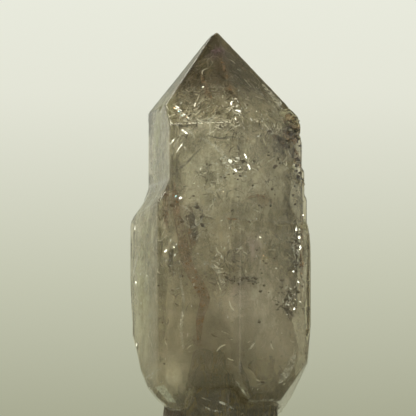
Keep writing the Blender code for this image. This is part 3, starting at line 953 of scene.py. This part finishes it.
def cloud_material(name, least, most, shift):
    """The turbid inside of the crystal: olive-brown smoke with violet traces, mottled at every scale."""
    material, shader = new_material(name)
    tree = material.node_tree
    place = place_in_object(tree)
    axes = add_node(tree, "ShaderNodeSeparateXYZ", {0: place}).outputs
    mottle = cloud_mottle(tree, place, shift)

    calm = remap(tree, axes["Z"], *CALM_RANGE)
    colour = blend_colours(tree, remap(tree, mottle, 0.40, 0.60, 0.0, 1.0), CLOUD_DARK, CLOUD_PALE)
    colour = blend_colours(tree, calm, colour, CALM_COLOUR)
    colour = blend_colours(tree, remap(tree, axes["Z"], *TIP_RANGE), colour, TIP_COLOUR)
    colour = blend_colours(tree, remap(tree, axes["Z"], *FOOT_RANGE), colour, FOOT_COLOUR)
    patches = remap(tree, mottle, 0.36, 0.64, 0.45, 1.0)
    for across, up, reach, tint, strength in CLOUD_ZONES:
        zone = soft_zone(tree, place, inside(across, up, ZONE_DEPTH) / MM, reach)
        zone = calculate(tree, "MULTIPLY", calculate(tree, "MULTIPLY", zone, strength), patches)
        colour = blend_colours(tree, zone, colour, tint)

    uneven = remap(tree, mottle, 0.42, 0.58, least, most)
    uneven = calculate(tree, "MULTIPLY", uneven, calculate(tree, "SUBTRACT", 1.0, calm))
    even = calculate(tree, "MULTIPLY", calm, CALM_SHARE * most)
    alpha = calculate(tree, "ADD", uneven, even)
    alpha = calculate(tree, "MULTIPLY", alpha, remap(tree, axes["Y"], *REAR_RANGE))

    for scale, width, tint, strength in CLOUD_CRACKS:
        crack = crack_lines(tree, place, scale, width, shift + scale)
        seen = remap(tree, axes["Z"], *CRACK_HEIGHTS, CRACK_FAINTEST * strength, strength)
        crack = calculate(tree, "MULTIPLY", crack, seen)
        colour = blend_colours(tree, crack, colour, tint)
        alpha = calculate(tree, "MAXIMUM", alpha, crack)
    tree.links.new(colour, shader.inputs["Base Color"])
    tree.links.new(alpha, shader.inputs["Alpha"])
    shader.inputs["Roughness"].default_value = 0.6
    return material


def make_cloud_core(name, inset, lump, least, most, shift):
    """A lumpy cloud some millimetres below the skin, which follows the crystal's form."""

    def sway(place, normal):
        broad = noise.noise(place * 0.13 + Vector((shift, 0.0, 0.0)))
        small = noise.noise(place * 0.45 + Vector((0.0, shift, 0.0)))
        return -(inset + lump * (broad + 0.4 * small))

    mesh = evened(cad_node.data.copy(), CLOUD_ROUGH_VOXEL, CLOUD_ROUNDING)
    push(mesh, sway)
    place_piece(name, evened(mesh, CLOUD_VOXEL), cloud_material(name, least, most, shift))


def make_phantom():
    """The dark older crystal inside: it fills the stem and ends in its own tip inside the head."""
    shape = bmesh.new()
    bmesh.ops.create_cube(shape, size=160.0 * MM)
    planes = [(Vector((0.0, 0.0, PHANTOM_FOOT)), Vector((0.0, 0.0, -1.0)))]
    tilt = math.radians(PHANTOM_TILT)
    for azimuth, distance, lean in PHANTOM_FACES:
        out = way_to(azimuth, 0.0)
        planes.append((out * distance + Vector((0.0, 0.0, PHANTOM_LEVEL)), way_to(azimuth, lean)))
        slope = out * math.cos(tilt) + Vector((0.0, 0.0, math.sin(tilt)))
        planes.append((out * distance + Vector((0.0, 0.0, PHANTOM_SHOULDER)), slope))
    for point, normal in planes:
        geometry = shape.verts[:] + shape.edges[:] + shape.faces[:]
        cut = bmesh.ops.bisect_plane(
            shape, geom=geometry, plane_co=point * MM, plane_no=normal, clear_outer=True
        )
        rim = [e for e in cut["geom_cut"] if isinstance(e, bmesh.types.BMEdge)]
        bmesh.ops.edgeloop_fill(shape, edges=rim)
    bmesh.ops.translate(shape, verts=shape.verts, vec=Vector((C_AXIS[0], C_AXIS[1], 0.0)) * MM)
    bmesh.ops.recalc_face_normals(shape, faces=shape.faces)
    mesh = bpy.data.meshes.new("smoky_phantom")
    shape.to_mesh(mesh)
    shape.free()
    look = veil_material(
        "smoky_phantom", (0.105, 0.078, 0.022), (0.18, 0.138, 0.045),
        scale=0.16, thin=0.18, thick=0.50, most=0.95, stretch=(1.0, 1.0, 0.4),
    )
    place_piece("smoky_phantom", evened(mesh, 0.8, 2), look)


def make_smoke_veils():
    """Large faint films of healed cracks, which cloud the whole head."""
    growth = Growth()
    dice = random.Random(SEED)
    for i in range(VEIL_COUNT):
        turn = dice.uniform(0.0, 2.0 * math.pi)
        centre = Vector((C_AXIS[0], C_AXIS[1], VEIL_LOWEST + VEIL_STEP * i)) * MM
        centre += Vector((dice.uniform(-3.0, 3.0), dice.uniform(-6.0, 3.0), 0.0)) * MM
        tilt = dice.uniform(-0.5, 0.5)
        normal = Vector((math.sin(turn) * 0.5, -1.0, tilt)).normalized()
        add_veil(growth, centre, normal, dice.uniform(11.0, 17.0), 3.1 * i)
    look = veil_material(
        "clouded_veil", (0.62, 0.60, 0.52), (0.46, 0.43, 0.35), scale=0.22, thin=0.44, thick=0.66, most=0.55
    )
    growth.finish("clouded_veils", look)


def mirror_normal(across, up):
    """How a film inside has to lie to mirror a key light to the photograph's viewer."""
    _, ray, normal = sight_line(across, up)
    light = max((way_to(*place) for place in KEY_LIGHTS), key=lambda way: way.dot(normal))
    return (-ray - refract(-light, normal)).normalized()


def lean_a_little(normal, dice, amount):
    """The normal, turned by a small random angle."""
    return (normal + Vector([dice.gauss(0.0, amount) for _ in range(3)])).normalized()


def scattered(dice, across, up, wide, tall):
    """A random place near another: across and up."""
    return across + dice.gauss(0.0, wide / 2), up + dice.gauss(0.0, tall / 2)


def add_placed_flakes(growth, flakes, dice):
    """Films in the places of a table, which mirror the lights."""
    for across, up, depth, length, width, turn in flakes:
        normal = lean_a_little(mirror_normal(across, up), dice, 0.03)
        add_flake(growth, inside(across, up, depth), normal, length, width, math.radians(turn), dice)


def add_spark(growth, point, normal, size, dice):
    """A small narrow film, turned at random."""
    add_flake(growth, point, normal, size * 2.2, size * 0.6, dice.uniform(0.0, 3.1), dice)


def make_flakes():
    """Cleavage films and sparks that catch the lights, in the photographed places and all round."""
    dice = random.Random(SEED + 1)
    bright, rainbow = Growth(), Growth()
    add_placed_flakes(bright, BRIGHT_FLAKES, dice)
    for across, up, wide, tall, count in SPARK_FIELDS:
        for _ in range(count):
            place = scattered(dice, across, up, wide, tall)
            normal = lean_a_little(mirror_normal(*place), dice, 0.22)
            size = dice.uniform(0.12, 0.42)
            add_spark(bright, inside(*place, dice.uniform(0.4, 1.6)), normal, size, dice)
    for _ in range(STREWN_FLAKES):
        point = random_inside(dice, 0.6, 2.5)
        size = 0.12 + 0.35 * dice.random() ** 2
        normal = lean_a_little(surface.find_nearest(point)[1], dice, 0.5)
        add_spark(bright, point, normal, size, dice)
    add_placed_flakes(rainbow, RAINBOW_FLAKES, dice)
    look = flake_material("mirror_film", (0.95, 0.94, 0.88), (0.75, 0.80, 0.85), 1.4)
    bright.finish("bright_films", look, smooth=False)
    look = flake_material("rainbow_film", (0.25, 0.72, 0.95), (0.98, 0.55, 0.25), 2.2)
    rainbow.finish("rainbow_films", look, smooth=False)


def add_speck(growth, point, size, dice):
    """A grain that is flattened and turned at random."""
    add_grain(growth, point, size, dice.uniform(0.2, 0.6), dice.uniform(0.0, 50.0))


def make_specks():
    """Dark grains, old pores and fine dirt, in the photographed places and all round the crystal."""
    dice = random.Random(SEED + 2)
    dark = Growth()
    for across, up, depth, size, squash in DARK_GRAINS:
        add_grain(dark, inside(across, up, depth), size, squash, dice.uniform(0.0, 50.0))
    for across, up, wide, tall, count in SPECK_FIELDS:
        for _ in range(count):
            place = scattered(dice, across, up, wide, tall)
            size = 0.20 + 0.80 * dice.random() ** 3
            add_speck(dark, inside(*place, dice.uniform(0.4, 1.2)), size, dice)
    for _ in range(STREWN_GRAINS):
        size = 0.18 + 0.5 * dice.random() ** 3
        add_speck(dark, random_inside(dice, 0.5, 2.2), size, dice)
    look = speck_material("dark_grains", (0.030, 0.022, 0.012), (0.11, 0.075, 0.035))
    dark.finish("dark_grains", look)


def add_short_crack(growth, start, normal, dice):
    """A short curved film that starts at a point, unless it would come near the crystal's surface."""
    side, rise = frame_of(normal)
    heading, bend = dice.uniform(0.0, 2.0 * math.pi), dice.gauss(0.0, 0.3)
    step = dice.uniform(0.2, 0.8) * MM
    path = [start]
    for _ in range(3):
        path.append(path[-1] + (side * math.cos(heading) + rise * math.sin(heading)) * step)
        heading += bend
    if min(depth_of(point) for point in path) > 0.3:
        add_ribbon(growth, path, dice.uniform(0.12, 0.35), normal, 0.15, dice.uniform(0.0, 50.0), 12, 3)


def make_crackle():
    """Short healed cracks, painted pale as if they caught the light and dark as if they lay in shade, also
    all round.
    """
    dice = random.Random(SEED + 3)
    pale, dark = Growth(), Growth()
    for across, up, wide, tall, lit_count, shaded_count in CRACKLE_FIELDS:
        for growth, count in ((pale, lit_count), (dark, shaded_count)):
            for _ in range(count):
                place = scattered(dice, across, up, wide, tall)
                start = inside(*place, dice.uniform(0.4, 2.2))
                add_short_crack(growth, start, lean_a_little(-sight_line(*place)[1], dice, 0.3), dice)
    for growth in (pale, dark):
        for _ in range(STREWN_CRACKS):
            start = random_inside(dice, 0.6, 2.4)
            normal = surface.find_nearest(start)[1]
            add_short_crack(growth, start, lean_a_little(normal, dice, 0.3), dice)
    # The pale copy is painted light and the dark copy painted shade, of one and the same kind of crack.
    lit_look = veil_material(
        "painted_lit_crackle", (0.95, 0.93, 0.82), (0.75, 0.72, 0.58), scale=1.5, thin=0.30, thick=0.50, most=0.95
    )
    shaded_look = veil_material(
        "painted_shaded_crackle", (0.06, 0.045, 0.02), (0.14, 0.10, 0.05), scale=1.5, thin=0.30, thick=0.50, most=0.90
    )
    pale.finish("painted_lit_crackle", lit_look)
    dark.finish("painted_shaded_crackle", shaded_look)


def make_lobe_painted_highlight():
    """A painted highlight on the small facet at the foot of the left lobe: a pale thin film under the skin.
    """
    growth = Growth()
    outer = [inside(across, up, LOBE_HIGHLIGHT_DEPTH) for across, up in LOBE_HIGHLIGHT]
    inner = [inside(across, up, LOBE_HIGHLIGHT_DEPTH + LOBE_HIGHLIGHT_THICKNESS) for across, up in LOBE_HIGHLIGHT]
    sides = [(i, 4 + i, 4 + (i + 1) % 4, (i + 1) % 4) for i in range(4)]
    growth.add(outer + inner, [(0, 1, 2, 3), (7, 6, 5, 4)] + sides)
    # The film's pale colour is a painted highlight, not a colour of the quartz.
    look = veil_material(
        "painted_highlight_film", (0.84, 0.87, 0.76), (0.50, 0.52, 0.42),
        scale=0.3, thin=0.2, thick=0.5, most=0.85, roughness=0.3,
    )
    growth.finish("lobe_painted_highlight", look, smooth=False)


def make_stem_painted_shade():
    """Painted shade: a dark matt sheet lying on the stem's left face."""
    growth = Growth()
    facing = way_to(*STEM_SHADE_FACING)
    mesh = evened(cad_node.data.copy(), VOXEL)
    for face in mesh.polygons:
        place = face.center / MM
        within = STEM_SHADE_FOOT < place.z < STEM_SHADE_TOP + STEM_SHADE_RAGGED * noise.noise(place * 0.7)
        if within and place.y < STEM_SHADE_BACK and face.normal.dot(facing) > STEM_SHADE_SQUARENESS:
            corners = [mesh.vertices[i] for i in face.vertices]
            growth.add([v.co + v.normal * STEM_SHADE_RISE * MM for v in corners], [tuple(range(len(corners)))])
    bpy.data.meshes.remove(mesh)
    # This sheet's near-black colour and weak reflection are painted shade.
    look = veil_material(
        "painted_stem_shade", (0.014, 0.010, 0.004), (0.06, 0.038, 0.016),
        scale=0.5, thin=0.22, thick=0.42, most=1.0, roughness=0.8,
    )
    look.node_tree.nodes["Principled BSDF"].inputs["Specular IOR Level"].default_value = 0.15
    growth.finish("stem_painted_shade", look)


def make_bands(name, bands, wave, look):
    """Ribbons of one kind that follow their paths below the front surface."""
    growth = Growth()
    for i, (path, width, depth) in enumerate(bands):
        lean = sight_line(*path[len(path) // 2])[1]
        points = [inside(across, up, depth) for across, up in path]
        add_ribbon(growth, points, width, lean, wave, 5.3 * i + 1.0)
    growth.finish(name, look)


set_camera()
set_world()
for light in LIGHTS:
    add_softbox(*light)
add_floor()

make_skin()
make_cloud_core("outer_cloud", inset=2.2, lump=1.6, least=0.10, most=0.62, shift=3.0)
make_cloud_core("inner_cloud", inset=5.0, lump=2.4, least=0.42, most=0.97, shift=19.0)
make_phantom()
make_smoke_veils()
make_flakes()
make_specks()
make_crackle()
make_lobe_painted_highlight()
make_stem_painted_shade()

iron_stain = veil_material(
    "iron_stain", (0.31, 0.188, 0.084), (0.145, 0.083, 0.035), scale=0.35, thin=0.18, thick=0.56, most=0.87
)
dark_crack = veil_material(
    "dark_crack", (0.05, 0.04, 0.02), (0.10, 0.08, 0.05), scale=1.2, thin=0.30, thick=0.55, most=0.9
)
pale_wisp = veil_material(
    "pale_wisp", (0.92, 0.92, 0.84), (0.72, 0.72, 0.62), scale=1.0, thin=0.38, thick=0.62, most=0.8
)
make_bands("iron_bands", IRON_BANDS, 0.8, iron_stain)
make_bands("dark_cracks", DARK_CRACKS, 0.3, dark_crack)
make_bands("pale_wisps", PALE_WISPS, 0.8, pale_wisp)

scene = bpy.context.scene
scene.view_settings.view_transform = "Standard"
scene.cycles.max_bounces = 24
scene.cycles.glossy_bounces = 12
scene.cycles.transmission_bounces = 20
scene.cycles.transparent_max_bounces = 24
